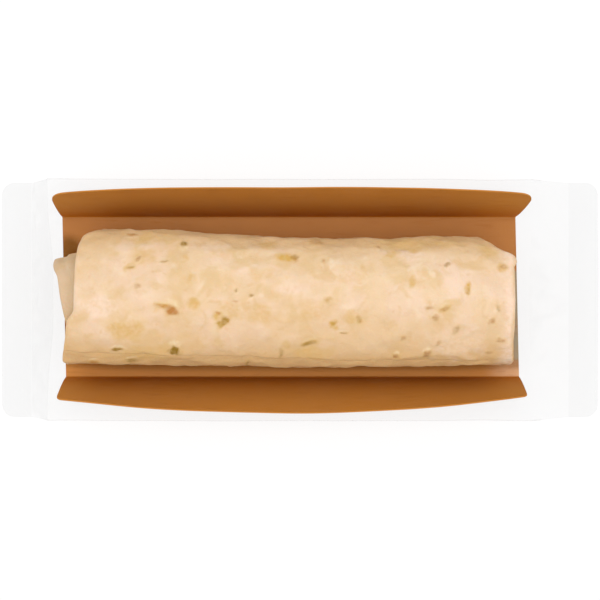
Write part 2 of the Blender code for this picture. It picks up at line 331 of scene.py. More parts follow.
MARKS["brown"] = (
    (-66.1, 17.0, 2.9, 1.2, 38, 0.50),
    (-66.7, 5.7, 2.5, 1.8, 0, 0.45),
    (9.6, 15.7, 1.6, 1.4, 0, 0.40),
    (42.6, -15.6, 2.0, 1.8, 40, 0.45),
    (39.4, -23.0, 2.3, 1.9, 0, 0.85),
    (53.0, -3.2, 3.3, 1.6, 0, 0.45),
    (59.4, -3.7, 4.1, 1.6, 22, 0.50),
    (55.6, -7.0, 2.3, 2.3, 0, 0.50),
    (78.7, -8.6, 3.3, 1.8, 55, 0.45),
    (82.2, -16.6, 3.3, 2.0, 0, 0.48),
    (56.6, -17.6, 2.9, 1.6, 50, 0.40),
    (52.1, -22.1, 3.9, 2.3, 28, 0.80),
    (77.6, -21.7, 2.9, 1.4, 10, 0.40),
    (83.4, 13.3, 3.7, 1.8, 0, 0.38),
    (83.6, -26.4, 3.7, 1.2, 0, 0.55),
    (32.0, 21.7, 1.6, 1.3, 0, 0.55),
)
# A mark's colour reaches out this far, in shares of its half size, and fades over this run
MARK_REACH, MARK_FADE = 1.35, 0.9
# Marks longer than this, in mm, have a coarser edge
BROAD_MARK = 5.5
FINE_EDGE_SIZE, BROAD_EDGE_SIZE = 0.0017, 0.0042
RAGGED = 0.38
# These marks are pits. Each has a straw halo, and if it is strong a painted highlight on its lip, on the
# side towards the crown
PITTED = ("olive", "rust", "brown")
HIGHLIGHT_SHIFT = 0.75
HIGHLIGHT_FROM = 0.45
HIGHLIGHT_STRENGTH = 0.4
HALO_SIZE = 1.6
HALO_STRENGTH = 0.35
# Marks on the roll's lower half: their number and seed, and the ranges that they are drawn from
HIDDEN_MARKS, HIDDEN_SEED = 70, 5
HIDDEN_COLOURS = ("straw", "olive", "rust")
HIDDEN_X = (-0.085, 0.08)
HIDDEN_WIDTH = (0.0014, 0.0034)
HIDDEN_STRETCH = (1.0, 2.4)
HIDDEN_STRENGTH = (0.3, 0.8)

# Mesh steps
FILM_ARC_STEPS = {"floor": 4, "shoulder": 8, "crown": 36}
FILM_LINE_STEPS = {"base": 22, "side": 14, "roof": 18}
FILM_BODY_RINGS = 110
FILM_SLOPE_RINGS = 26
FILM_CORNER_RINGS = 12
BACK_SEAM_ALONG, BACK_SEAM_ACROSS = 60, 34
# The tray's steps are finer over its right end, and round the top share of its walls
TRAY_ALONG, TRAY_FINE_ALONG, TRAY_FINE_FROM = 166, 12, 0.98
TRAY_ACROSS = 100
WALL_STEPS, WALL_TOP_STEPS, WALL_TOP_SHARE = 13, 9, 0.22
ROLL_ALONG = 290
ROLL_AROUND = 256
LIP_STEPS = 8
# Between these turns from the free edge the roll's steps are this much less crowded
UNDERSIDE_TURNS = (0.12, 0.53)
UNDERSIDE_CROWDING = 0.4
RIM_RINGS = 5
END_RINGS = 30
TUCK_AROUND = 200
TUCK_ALONG = 26
SHARP_ANGLE = math.radians(50)


# ---- numbers and meshes


def smooth(value):
    value = np.clip(value, 0.0, 1.0)
    return value * value * (3 - 2 * value)


def mix(a, b, share):
    return a + (b - a) * share


def curve_through(points, value):
    """A smooth curve through given points (place, height), read at each value."""
    places, heights = np.array(sorted(points)).T
    runs = np.diff(heights) / np.diff(places)
    turning = runs[:-1] * runs[1:] <= 0
    total = np.where(turning, 1.0, runs[:-1] + runs[1:])
    inner = np.where(turning, 0.0, 2 * runs[:-1] * runs[1:] / total)
    slopes = np.concatenate([runs[:1], inner, runs[-1:]])
    value = np.clip(value, places[0], places[-1])
    k = np.clip(np.searchsorted(places, value, side="right") - 1, 0, len(places) - 2)
    step = places[k + 1] - places[k]
    t = (value - places[k]) / step
    return (
        heights[k] * (2 * t**3 - 3 * t**2 + 1)
        + slopes[k] * step * (t**3 - 2 * t**2 + t)
        + heights[k + 1] * (3 * t**2 - 2 * t**3)
        + slopes[k + 1] * step * (t**3 - t**2)
    )


def soft_noise(points, size, seed=0):
    """Smooth noise from about -1 to 1 at each point, with bumps about as large as size."""
    points = np.asarray(points)
    shifted = points.reshape(-1, 3) / size + 7.31 * seed
    values = np.fromiter((noise.noise(p) for p in shifted.tolist()), float, len(shifted))
    return values.reshape(points.shape[:-1])


def stack(x, y, z):
    return np.stack(np.broadcast_arrays(x, y, z), axis=-1)


def mesh_from(name, points, faces):
    mesh = bpy.data.meshes.new(name)
    mesh.from_pydata([tuple(p) for p in points], [], faces)
    mesh.update()
    mesh.shade_smooth()
    made = bpy.data.objects.new(name, mesh)
    bpy.context.scene.collection.objects.link(made)
    return made


def grid_faces(rows, columns, ring=False):
    """Quads between rows of points. In a ring, each row's last point joins its first."""
    faces = []
    for r in range(rows - 1):
        for c in range(columns if ring else columns - 1):
            after = (c + 1) % columns
            low = r * columns
            high = low + columns
            faces.append((low + c, low + after, high + after, high + c))
    return faces


def sheet_object(name, grid, thickness):
    """A closed thin sheet: its middle surface is a grid of points, and its edges are square."""
    rows, columns = grid.shape[:2]
    along = np.gradient(grid, axis=0)
    across = np.gradient(grid, axis=1)
    normal = np.cross(across, along)
    normal /= np.linalg.norm(normal, axis=2, keepdims=True)
    upper = (grid + normal * thickness / 2).reshape(-1, 3)
    lower = (grid - normal * thickness / 2).reshape(-1, 3)
    count = rows * columns
    top = grid_faces(rows, columns)
    faces = [f[::-1] for f in top] + [tuple(i + count for i in f) for f in top]
    rim = list(range(columns))
    rim += [r * columns + columns - 1 for r in range(1, rows)]
    rim += [(rows - 1) * columns + c for c in range(columns - 2, -1, -1)]
    rim += [r * columns for r in range(rows - 2, 0, -1)]
    for a, b in zip(rim, rim[1:] + rim[:1]):
        faces.append((a, b, b + count, a + count))
    made = mesh_from(name, np.vstack([upper, lower]), faces)
    made.data.set_sharp_from_angle(angle=SHARP_ANGLE)
    return made


def loft_object(name, rings):
    """A closed body through rings of equally many points, with a flat cap at each end."""
    rows, columns = rings.shape[:2]
    faces = [f[::-1] for f in grid_faces(rows, columns, ring=True)]
    last = (rows - 1) * columns
    faces.append(tuple(range(columns)))
    faces.append(tuple(last + c for c in range(columns))[::-1])
    made = mesh_from(name, rings.reshape(-1, 3), faces)
    made.data.set_sharp_from_angle(angle=SHARP_ANGLE)
    return made


# ---- film


def outward_normal(first, second):
    """Angle of the outward normal of the line that touches two circles (y, z, radius), passed
    anticlockwise."""
    run_y = second[0] - first[0]
    run_z = second[1] - first[1]
    lean = math.asin((first[2] - second[2]) / math.hypot(run_y, run_z))
    return math.atan2(run_z, run_y) - math.pi / 2 + lean


def on_circle(circle, angle):
    return (
        circle[0] + circle[2] * math.cos(angle),
        circle[1] + circle[2] * math.sin(angle),
    )


def arc(circle, start, end, steps):
    turn = (end - start) % (2 * math.pi)
    return [on_circle(circle, start + turn * k / steps) for k in range(steps)]


def line(start, end, steps, sag=0.0):
    """Points of a line that sags at right angles to itself, without its last point."""
    run_y = end[0] - start[0]
    run_z = end[1] - start[1]
    length = math.hypot(run_y, run_z)
    points = []
    for k in range(steps):
        share = k / steps
        dip = sag * math.sin(math.pi * share) ** 2
        points.append(
            (
                start[0] + run_y * share - dip * run_z / length,
                start[1] + run_z * share + dip * run_y / length,
            )
        )
    return points


def wrap_middle_y(u):
    return (curve_through(FAR_SIDE, u) - curve_through(NEAR_SIDE, u)) / 2


def film_outline(along):
    """The film's outline across the pack, anticlockwise from the base's middle."""
    floor_y = TRAY_FLOOR_WIDTH / 2 + FILM_SLACK - FLOOR_CORNER_RADIUS
    shoulder_y = PACK_WIDTH / 2 - SHOULDER_RADIUS
    u = 2 * along - 1
    crown_z = PACK_HEIGHT - CROWN_RADIUS - WRAP_END_FALL * u**4
    floor_z = FILM_BASE_Z + FLOOR_CORNER_RADIUS
    circles = [
        ("floor", (TRAY_SHIFT_Y + floor_y, floor_z, FLOOR_CORNER_RADIUS)),
        ("shoulder", (shoulder_y, TRAY_WALL_HEIGHT, SHOULDER_RADIUS)),
        ("crown", (float(wrap_middle_y(u)), crown_z, CROWN_RADIUS)),
        ("shoulder", (-shoulder_y, TRAY_WALL_HEIGHT, SHOULDER_RADIUS)),
        ("floor", (TRAY_SHIFT_Y - floor_y, floor_z, FLOOR_CORNER_RADIUS)),
    ]
    lines = [("side", 0.0), ("roof", ROOF_SAG), ("roof", ROOF_SAG), ("side", 0.0)]
    base_angle = -math.pi / 2
    middle = (TRAY_SHIFT_Y, FILM_BASE_Z)
    angle = base_angle
    points = line(middle, on_circle(circles[0][1], angle), FILM_LINE_STEPS["base"])
    for k, (name, circle) in enumerate(circles):
        last = k == len(circles) - 1
        leave = base_angle if last else outward_normal(circle, circles[k + 1][1])
        points += arc(circle, angle, leave, FILM_ARC_STEPS[name])
        if last:
            there = middle
            kind, sag = "base", 0.0
        else:
            there = on_circle(circles[k + 1][1], leave)
            kind, sag = lines[k]
        points += line(on_circle(circle, leave), there, FILM_LINE_STEPS[kind], sag)
        angle = leave
    return np.array(points)


def seal_outline(outline):
    """Where the points of a film outline lie in its flat seal: as a share of the seal's half width,
    and -1, 0 or 1 for the lower layer, the edge and the upper layer."""
    steps = np.linalg.norm(np.roll(outline, -1, axis=0) - outline, axis=1)
    girth = np.concatenate([[0.0], np.cumsum(steps)])
    right = int(np.argmax(outline[:, 0]))
    left = int(np.argmin(outline[:, 0]))
    place = girth[:-1]
    share = 1 - 2 * (place - girth[right]) / (girth[left] - girth[right])
    layer = np.ones(len(outline))
    share[: right + 1] = place[: right + 1] / girth[right]
    share[left:] = (place[left:] - girth[-1]) / (girth[-1] - girth[left])
    layer[:right] = -1
    layer[left + 1 :] = -1
    layer[[left, right]] = 0
    return share, layer


def end_of_contents(height, side):
    """X where the film leaves the tray, low down, or the end of the wrap, higher up."""
    tray_end = TRAY_SHIFT_X + side * (FILM_TRAY_LENGTH / 2 + FILM_SLACK)
    wrap_end = WRAP_SHIFT_X + side * (WRAP_LENGTH / 2 + FILM_SLACK)
    climb = (height - TRAY_WALL_HEIGHT) / (PACK_HEIGHT - TRAY_WALL_HEIGHT)
    return mix(tray_end, wrap_end, smooth(climb))


def film_body():
    rings = []
    for along in np.linspace(0, 1, FILM_BODY_RINGS):
        y, z = film_outline(along).T
        x = mix(end_of_contents(z, -1), end_of_contents(z, 1), along)
        ring = stack(x, y, z)
        middle = np.array([0.0, 0.0, TRAY_WALL_HEIGHT * 0.8])
        outward = ring - middle
        outward[:, 0] = 0
        outward /= np.linalg.norm(outward, axis=1, keepdims=True)
        near_end = smooth((abs(2 * along - 1) - WRINKLED_FROM) / (1 - WRINKLED_FROM))
        wrinkle = soft_noise(ring * WRINKLE_STRETCH, WRINKLE_SIZE, 51)
        slack = smooth((z - 0.003) / 0.01)
        push = WRINKLE_DEPTH * (0.5 + 2.5 * near_end) * wrinkle * slack
        rings.append(ring + outward * push[:, None])
    return rings


def film_slope(body_ring, side):
    """Rings from one end of the body to its seal, with pleats where the roof is gathered."""
    share_y, layer = seal_outline(body_ring[:, 1:])
    seal = stack(
        side * (PACK_LENGTH / 2 - SEAL_LENGTH),
        share_y * SEAL_WIDTH / 2,
        SEAL_Z + layer * SEAL_THICKNESS / 2,
    )
    above = smooth((body_ring[:, 2] - SEAL_Z) / (PACK_HEIGHT - SEAL_Z))
    below = smooth((SEAL_Z - body_ring[:, 2]) / SEAL_Z)
    rings = []
    for k in range(1, FILM_SLOPE_RINGS + 1):
        share = k / FILM_SLOPE_RINGS
        bow = math.sin(math.pi * share)
        ring = mix(body_ring, seal, share)
        place = stack(0.004 * share, ring[:, 1], side * 0.05)
        pleats = soft_noise(place, FINE_PLEAT, 61) + 1.3 * soft_noise(place, BROAD_PLEAT, 62)
        creases = 0.5 - 1.6 * np.abs(soft_noise(place + (0.003 * share, 0, 0), CREASE_SIZE, 63))
        push = PLEAT_DEPTH * (0.6 * pleats + 0.8 * creases) * bow * (above + 0.4 * below)
        ring[:, 0] += side * push
        ring[:, 2] += 0.6 * push - SLOPE_SAG * bow * above
        rings.append(ring)
    return rings


def film_seal(body_ring, side):
    """Rings of one crimped seal, whose outer corners are rounded."""
    share_y, layer = seal_outline(body_ring[:, 1:])
    inner = PACK_LENGTH / 2 - SEAL_LENGTH
    corner = PACK_LENGTH / 2 - SEAL_CORNER
    turns = np.sin(np.linspace(0, math.pi / 2, FILM_CORNER_RINGS + 1))
    places = np.concatenate([np.arange(inner, corner, CRIMP_PITCH / 5)[1:], corner + SEAL_CORNER * turns])
    rings = []
    for place in places:
        into_corner = np.clip((place - corner) / SEAL_CORNER, 0.0, 1.0)
        half_width = SEAL_WIDTH / 2 - SEAL_CORNER * (1 - math.sqrt(1 - into_corner**2))
        y = share_y * half_width
        rib = CRIMP_DEPTH * smooth((place - inner) / CRIMP_PITCH)
        rib = rib * math.sin(2 * math.pi * place / CRIMP_PITCH)
        curl = smooth((place - inner) / SEAL_LENGTH) * SEAL_CURL
        wave = curl * soft_noise(stack(side * 0.3, y, 0.0), SEAL_CURL_SIZE, 64)
        rings.append(stack(side * place, y, SEAL_Z + layer * SEAL_THICKNESS / 2 + rib + wave))
    return rings


def film_object():
    body = film_body()
    left = film_slope(body[0], -1) + film_seal(body[0], -1)
    right = film_slope(body[-1], 1) + film_seal(body[-1], 1)
    rings = np.array(left[::-1] + body + right)
    made = loft_object("film", rings)
    past_slope = np.abs(rings[..., 0].ravel()) - (PACK_LENGTH / 2 - SEAL_LENGTH)
    add_attribute(made, "sealed", smooth(past_slope / SEAL_FADE))
    return made


def back_seam_object():
    """The film's long seam, folded flat against the pack's base."""
    x = TRAY_SHIFT_X + np.linspace(-TRAY_LENGTH / 2, TRAY_LENGTH / 2, BACK_SEAM_ALONG)[:, None]
    y = TRAY_SHIFT_Y + np.linspace(0, BACK_SEAM_WIDTH, BACK_SEAM_ACROSS)[None, :]
    ripple = BACK_SEAM_RIPPLE * np.sin(2 * math.pi * y / CRIMP_PITCH)
    return sheet_object("film_back_seam", stack(x, y, FILM_BASE_Z / 2 + ripple), BACK_SEAM_THICKNESS)


# ---- tray


def tray_end_x(y, side):
    """The tray's end, which isn't quite square to its length."""
    slant = TRAY_SKEW * (y - TRAY_SHIFT_Y) / TRAY_FLOOR_WIDTH
    return TRAY_SHIFT_X + side * TRAY_LENGTH / 2 - slant


def wall_rows(side, climbs, along):
    """Rows of points up one wall, at shares of its height above the fold."""
    fold_y = TRAY_SHIFT_Y + side * TRAY_FLOOR_WIDTH / 2
    far = side > 0
    corner = FAR_CORNER if far else NEAR_CORNER
    reach = FAR_REACH if far else NEAR_REACH
    flares = FAR_FLARE if far else NEAR_FLARE
    power = FAR_FLARE_POWER if far else NEAR_FLARE_POWER
    climb = climbs[:, None]
    into_corner = np.clip((climb - 1) * TRAY_WALL_HEIGHT / corner + 1, 0.0, 1.0)
    cut = corner * (1 - np.sqrt(1 - into_corner**2))
    left = tray_end_x(fold_y, -1) - reach[0] * climb + cut
    right = tray_end_x(fold_y, 1) + reach[1] * climb - cut
    share = along[None, :]
    x = mix(left, right, share)
    z = mix(CARD_Z, TRAY_WALL_HEIGHT, climb)
    end = np.where(share < 0.5, flares[0], flares[2])
    flare = mix(flares[1], end, np.abs(2 * share - 1) ** power)
    wave = WALL_WAVE_DEPTH * soft_noise(stack(x, side * 0.2, z), WALL_WAVE_SIZE, 5) * climb
    y = fold_y + side * (flare * climb**WALL_CURVE + wave)
    return stack(x, y, z)


def painted_shadow(x, y):
    """How much painted shadow darkens the floor at each place, beside the wrap's near side and by its
    tuck.
    """
    u = (x - WRAP_SHIFT_X) / (WRAP_LENGTH / 2)
    past_roll = -y - SHADOW_SCALE * curve_through(NEAR_SIDE, u)
    beside_roll = (1 - smooth(past_roll / SHADOW_REACH)) * (y < SHADOW_BELOW_Y)
    past_spot = np.hypot(x - SHADOW_SPOT[0], y - SHADOW_SPOT[1]) - SHADOW_SPOT[2]
    spot = SHADOW_SPOT_STRENGTH * (1 - smooth(past_spot / SHADOW_SPOT_REACH))
    return np.maximum(SHADOW_STRENGTH * beside_roll, spot)


def end_shadow(x, y):
    """How much painted grey shadow each place of the floor gets at its right end, beside the wrap."""
    past = (x - tray_end_x(y, 1) + END_SHADOW_WIDTH) / END_SHADOW_EDGE
    between = smooth((y - END_SHADOW_FROM) / END_SHADOW_FADE) * smooth((END_SHADOW_TO - y) / END_SHADOW_FADE)
    return smooth(past) * between


def tray_object():
    """The folded card: far wall, floor and near wall as one sheet with two creases."""
    coarse = np.linspace(0, TRAY_FINE_FROM, TRAY_ALONG)
    along = np.concatenate([coarse[:-1], np.linspace(TRAY_FINE_FROM, 1, TRAY_FINE_ALONG)])
    first = FOLD_RADIUS / TRAY_WALL_HEIGHT
    top = 1 - WALL_TOP_SHARE * (1 - np.sin(np.linspace(0, math.pi / 2, WALL_TOP_STEPS)))
    climbs = np.concatenate([np.linspace(first, top[0], WALL_STEPS)[:-1], top])
    half = TRAY_FLOOR_WIDTH / 2 - FOLD_RADIUS
    y = TRAY_SHIFT_Y + np.linspace(half, -half, TRAY_ACROSS)[:, None]
    x = mix(tray_end_x(y, -1), tray_end_x(y, 1), along[None, :])
    floor = stack(x, y, CARD_Z)
    rows = np.concatenate([wall_rows(1, climbs, along)[::-1], floor, wall_rows(-1, climbs, along)])
    made = sheet_object("kraft_tray", rows, CARD_THICKNESS)
    # Painted shade: the walls take a warmer copy of the card colour that darkens towards each crease
    crease_shade = np.concatenate([1 - climbs[::-1], np.zeros(len(y)), 1 - climbs])
    wall = np.concatenate([np.ones(len(climbs)), np.zeros(len(y)), np.ones(len(climbs))])
    add_attribute(made, "crease_shade", np.tile(np.repeat(crease_shade, len(along)), 2))
    add_attribute(made, "wall", np.tile(np.repeat(wall, len(along)), 2))
    x, y = rows[..., 0].ravel(), rows[..., 1].ravel()
    # Painted light on the floor past the wrap's near side, paler still towards its right end
    near = smooth((-y - LIT_NEAR_FROM) / LIT_NEAR_RUN)
    add_attribute(made, "near", np.tile(near, 2))
    add_attribute(made, "lit_paler", np.tile(near * smooth((x - LIT_PALE_FROM_X) / LIT_PALE_RUN), 2))
    # Painted shadow beside the wrap's near side and by its tuck
    add_attribute(made, "painted_shadow", np.tile(painted_shadow(x, y), 2))
    # Painted grey shadow at the floor's right end, beside the wrap
    add_attribute(made, "end_shadow", np.tile(end_shadow(x, y), 2))
    return made


# ---- wrap


def overlap_angle(u):
    wobble = OVERLAP_WOBBLE * soft_noise(stack(u, 0.0, 0.0), OVERLAP_WOBBLE_SIZE, 71)
    return np.radians(curve_through(OVERLAP_LINE, u) + wobble)


def overlap_step(turn):
    """How far the spiral turn stands off its mean radius. turn is 0 at the free edge's foot, and
    the free edge's rounded lip is just before 1."""
    lip = np.clip((turn - 1 + OVERLAP_ROUND) / OVERLAP_ROUND, 0.0, 1.0)
    return OVERLAP_STEP * (turn - 0.5 - (1 - np.sqrt(1 - lip**2)))


def roll_section(u, turn, stand_off=0.0):
    """(y, z) of the roll's surface at u along it and turn round it."""
    far = curve_through(FAR_SIDE, u)
    near = curve_through(NEAR_SIDE, u)
    angle = overlap_angle(u) + 2 * math.pi * turn
    half_width = (far + near) / 2
    half_height = (WRAP_HEIGHT - WRAP_END_FALL * u**4) / 2
    up = np.sin(angle)
    power = mix(BASE_ROUNDNESS, CROWN_ROUNDNESS, smooth(up * 0.8 + 0.5))
    across = np.abs(np.cos(angle)) / half_width
    radius = (across**power + (np.abs(up) / half_height) ** power) ** (-1 / power)
    radius = radius + overlap_step(turn) + stand_off
    middle_z = CARD_Z + CARD_THICKNESS + half_height
    y = (far - near) / 2 + radius * np.cos(angle)
    z = middle_z + radius * up
    base_z = CARD_Z + CARD_THICKNESS / 2 + 0.0001
    return y, np.maximum(z, base_z)


def tortilla_relief(points):
    """Height of the tortilla's unevenness at each point: broad lumps over the filling, facets with
    soft creases between them, and small dents."""
    long_way = points * (0.65, 1, 1)
    broad = soft_noise(long_way, BROAD_SIZE, 11)
    facets = 0.2 - np.abs(soft_noise(long_way, FACET_SIZE, 12))
    dents = soft_noise(points, DENT_SIZE, 13)
    fine = soft_noise(points, FINE_SIZE, 14)
    return BROAD_DEPTH * broad + FACET_DEPTH * facets + DENT_DEPTH * dents + FINE_DEPTH * fine


def roll_rows(share, turn, inset=0.0):
    """Points of the roll's surface: share 0 is its left end face and 1 its right one."""
    u = 2 * share - 1
    y, z = roll_section(u, turn, -inset)
    x = mix(end_of_roll(y, -1), end_of_roll(y, 1), share)
    height = tortilla_relief(stack(x, y, z))
    y, z = roll_section(u, turn, height - inset)
    return stack(x, y, z)


def roll_turns():
    """Places round the roll, closer together on its upper half and over the free edge's lip."""
    even = np.linspace(0, 1, 400)
    below = (even > UNDERSIDE_TURNS[0]) & (even < UNDERSIDE_TURNS[1])
    crowding = np.cumsum(np.where(below, UNDERSIDE_CROWDING, 1.0))
    crowding = (crowding - crowding[0]) / (crowding[-1] - crowding[0])
    places = np.linspace(0, 1, ROLL_AROUND - LIP_STEPS, endpoint=False)
    main = np.interp(places, crowding, even) * (1 - OVERLAP_ROUND)
    lip = np.sin(np.linspace(0, math.pi / 2, LIP_STEPS, endpoint=False))
    return np.concatenate([main, 1 - OVERLAP_ROUND + OVERLAP_ROUND * lip])[None, :]


def end_of_roll(y, side):
    return curve_through(LEFT_END if side < 0 else RIGHT_END, y)


def spiral_face(rim, turn, middle, radius, side, end_at):
    """Rings of an end face from its rim in, and how deep in a groove each point lies: wound layers
    round a shallow middle. end_at gives x at each y."""
    inward = (np.arange(1, END_RINGS + 1) / (END_RINGS + 1))[:, None]
    y = mix(rim[..., 1], middle[0], inward)
    z = mix(rim[..., 2], middle[1], inward)
    place = stack(side * 0.1, y, z)
    reach = inward * radius / LAYER_PITCH
    waver = LAYER_WAVER * soft_noise(place, LAYER_WAVER_SIZE, 21) * smooth(reach)
    layers = reach + turn * (1 - OVERLAP_STEP / LAYER_PITCH) * smooth(reach - 0.2) + waver
    ridge = np.where(layers < 0.5, 1.0, np.abs(np.sin(math.pi * layers)) ** GROOVE_CURVE)
    wound = smooth(reach - 0.6) * (1 - smooth((inward - 0.78) / 0.2))
    groove = (1 - ridge) * wound
    angle = 2 * math.pi * turn
    round_face = stack(layers * 0.004, 0.012 * np.cos(angle), 0.012 * np.sin(angle))
    uneven = LAYER_UNEVEN * soft_noise(round_face, LAYER_UNEVEN_SIZE, 23)
    depth = LAYER_GROOVE * groove + END_DISH * smooth(inward * 1.15) - uneven * wound
    depth = depth - 0.4 * tortilla_relief(place) * smooth(2 * reach)
    return stack(end_at(y) - side * depth, y, z), groove


def round_rim(ring_at, side):
    """Rings of the rounded edge between an end face and a side, from the face out. ring_at gives the
    side's last ring at an inset."""
    rings = []
    for k in range(RIM_RINGS):
        bend = math.pi / 2 * k / RIM_RINGS
        ring = ring_at(RIM_RADIUS * (1 - math.sin(bend)))
        ring[..., 0] -= side * RIM_RADIUS * (1 - math.cos(bend))
        rings.append(ring)
    return np.concatenate(rings)


def ring_body(name, rings):
    """A closed body through rings of equally many points, with a fan of triangles at each end."""
    rows, columns = rings.shape[:2]
    points = rings.reshape(-1, 3)
    faces = [f[::-1] for f in grid_faces(rows, columns, ring=True)]
    last = (rows - 1) * columns
    count = len(points)
    for c in range(columns):
        after = (c + 1) % columns
        faces.append((c, after, count))
        faces.append((last + after, last + c, count + 1))
    tips = np.array([points[:columns].mean(axis=0), points[last:].mean(axis=0)])
    points = np.vstack([points, tips])
    return mesh_from(name, points, faces), points


def mark_cover(dx, dy, long, wide, turn):
    """How much of a mark lies at each place: 1 in its middle, a half near its edge and 0 outside."""
    lean = math.radians(turn)
    far_x = (dx * math.cos(lean) + dy * math.sin(lean)) / (long / 2)
    far_y = (dy * math.cos(lean) - dx * math.sin(lean)) / (wide / 2)
    return smooth((MARK_REACH - np.hypot(far_x, far_y)) / MARK_FADE)


def stamp(stains, name, values):
    stains[name] = np.maximum(stains[name], values)


def stamp_mark(stains, warps, colour, mark, away, lip_shift, shown):
    """Adds one mark (length, width, turn, strength). away is how far each point is from its middle."""
    long, wide, turn, strength = mark
    warp_x, warp_y = warps[long > BROAD_MARK * MM]
    dx = away[0] + RAGGED * wide * warp_x
    dy = away[1] + RAGGED * wide * warp_y
    cover = strength * mark_cover(dx, dy, long, wide, turn) * shown
    stamp(stains, colour, cover)
    if colour not in PITTED:
        return
    stamp(stains, "pit", cover)
    halo = mark_cover(dx, dy, HALO_SIZE * long, HALO_SIZE * wide, turn)
    stamp(stains, "straw", HALO_STRENGTH * strength * shown * halo)
    # Painted highlight on the pit's lip towards the crown
    if strength > HIGHLIGHT_FROM:
        lip = mark_cover(dx, dy + lip_shift, 1.1 * long, wide, turn) * shown
        stamp(stains, "pale_tone_and_lip_highlight", HIGHLIGHT_STRENGTH * strength * lip - cover)


def paint_marks(points):
    """How much of each mark's colour and of the painted highlight on a mark's lip each point has, and how
    deep in a mark's pit it is."""
    x, y, z = points.T
    scale = CAMERA_HEIGHT / (CAMERA_HEIGHT - z)
    middle_z = CARD_Z + WRAP_HEIGHT / 2
    upper = z > middle_z
    warps = {}
    for broad, size in ((False, FINE_EDGE_SIZE), (True, BROAD_EDGE_SIZE)):
        warps[broad] = soft_noise(points, size, 81), soft_noise(points, size, 82)
    stains = {name: np.zeros(len(points)) for name in (*MARKS, "pale_tone_and_lip_highlight", "pit")}
    for colour, rows in MARKS.items():
        for place_x, place_y, long, wide, turn, strength in rows:
            away = (x * scale - place_x * MM, y * scale - place_y * MM)
            mark = (long * MM, wide * MM, turn, strength)
            lip_shift = math.copysign(HIGHLIGHT_SHIFT * wide * MM, place_y)
            stamp_mark(stains, warps, colour, mark, away, lip_shift, upper)
    draw = random.Random(HIDDEN_SEED)
    angle = np.arctan2(z - middle_z, y)
    for _ in range(HIDDEN_MARKS):
        colour = draw.choice(HIDDEN_COLOURS)
        dx = x - draw.uniform(*HIDDEN_X)
        dy = (angle - draw.uniform(-math.pi, 0.0)) * WRAP_HEIGHT / 2
        wide = draw.uniform(*HIDDEN_WIDTH)
        long = wide * draw.uniform(*HIDDEN_STRETCH)
        mark = (long, wide, 0, draw.uniform(*HIDDEN_STRENGTH))
        stamp_mark(stains, warps, colour, mark, (dx, dy), HIGHLIGHT_SHIFT * wide, ~upper)
    return stains


def add_attribute(made, name, values):
    layer = made.data.attributes.new(name, "FLOAT", "POINT")
    layer.data.foreach_set("value", values.astype(np.float32))


def roll_end(turn, side):
    """Rings of one end, from its middle out, and how deep in a groove each point lies."""
    share = np.full((1, 1), 0.5 + side / 2)
    rim = round_rim(lambda inset: roll_rows(share, turn, inset), side)
    middle = (wrap_middle_y(side) + WIND_SHIFT_Y, CARD_Z + WRAP_HEIGHT * WIND_RISE)
    face, groove = spiral_face(
        rim[:1], turn, middle, WRAP_HEIGHT / 2, side, lambda y: end_of_roll(y, side)
    )
    no_groove = np.zeros(rim.shape[:2])
    return np.concatenate([face[::-1], rim]), np.concatenate([groove[::-1], no_groove])


def roll_stains(points, normals, groove):
    """The roll's marks, painted shade in rust colour down its end grooves, and its paler, rosier right
    end.
    """
    stains = paint_marks(points)
    # Painted shade in rust colour down the end faces' grooves
    stains["rust"] = np.maximum(stains["rust"], GROOVE_SHADE * groove)
    # Its own rosy tone and painted light over the sides of the right end
    on_side = 1 - smooth(1.3 * np.abs(normals[:, 0]))
    lit_rose_end = LIT_ROSE_STRENGTH * smooth((points[:, 0] - LIT_ROSE_FROM_X) / LIT_ROSE_RUN) * on_side
    stains["rose"] = np.maximum(stains["rose"], lit_rose_end)
    return stains


def roll_flank_shade(points):
    """How much painted shade darkens the roll's skin at each point, low on its sides and on its near
    side.
    """
    rise = (points[:, 2] - CARD_Z - WRAP_HEIGHT / 2) / (WRAP_HEIGHT / 2)
    near_side = smooth((NEAR_SHADE_FROM - points[:, 1]) / NEAR_SHADE_RUN)
    sides = SIDE_SHADE * smooth((SIDE_FROM - rise) / SIDE_RUN)
    return np.clip(sides + NEAR_SHADE * near_side, 0.0, 1.0)


def roll_object():
    turn = roll_turns()
    edge = RIM_RADIUS / WRAP_LENGTH
    body = roll_rows(np.linspace(edge, 1 - edge, ROLL_ALONG)[:, None], turn)
    left, left_groove = roll_end(turn, -1)
    right, right_groove = roll_end(turn, 1)
    made, points = ring_body("wrap_roll", np.concatenate([left, body, right[::-1]]))
    groove = np.concatenate([left_groove, np.zeros(body.shape[:2]), right_groove[::-1]])
    groove = np.append(groove.ravel(), (0.0, 0.0))
    normals = np.empty(len(points) * 3)
    made.data.vertices.foreach_get("normal", normals)
    normals = normals.reshape(-1, 3)
    stains = roll_stains(points, normals, groove)
    moved = points - normals * (PIT_DEPTH * stains.pop("pit"))[:, None]
    made.data.vertices.foreach_set("co", moved.astype(np.float32).ravel())
    # Painted shade in the hollows of the relief and in the end grooves
    hollow_shade = smooth(0.5 - tortilla_relief(points) / RELIEF_RANGE)
    for name, values in stains.items():
        add_attribute(made, name, values)
    add_attribute(made, "flank_shade", roll_flank_shade(points))
    add_attribute(made, "tuck_shade", np.zeros(len(points)))
    add_attribute(made, "hollow_shade", np.maximum(hollow_shade * 0.6, groove))
    made.data.update()
    return made


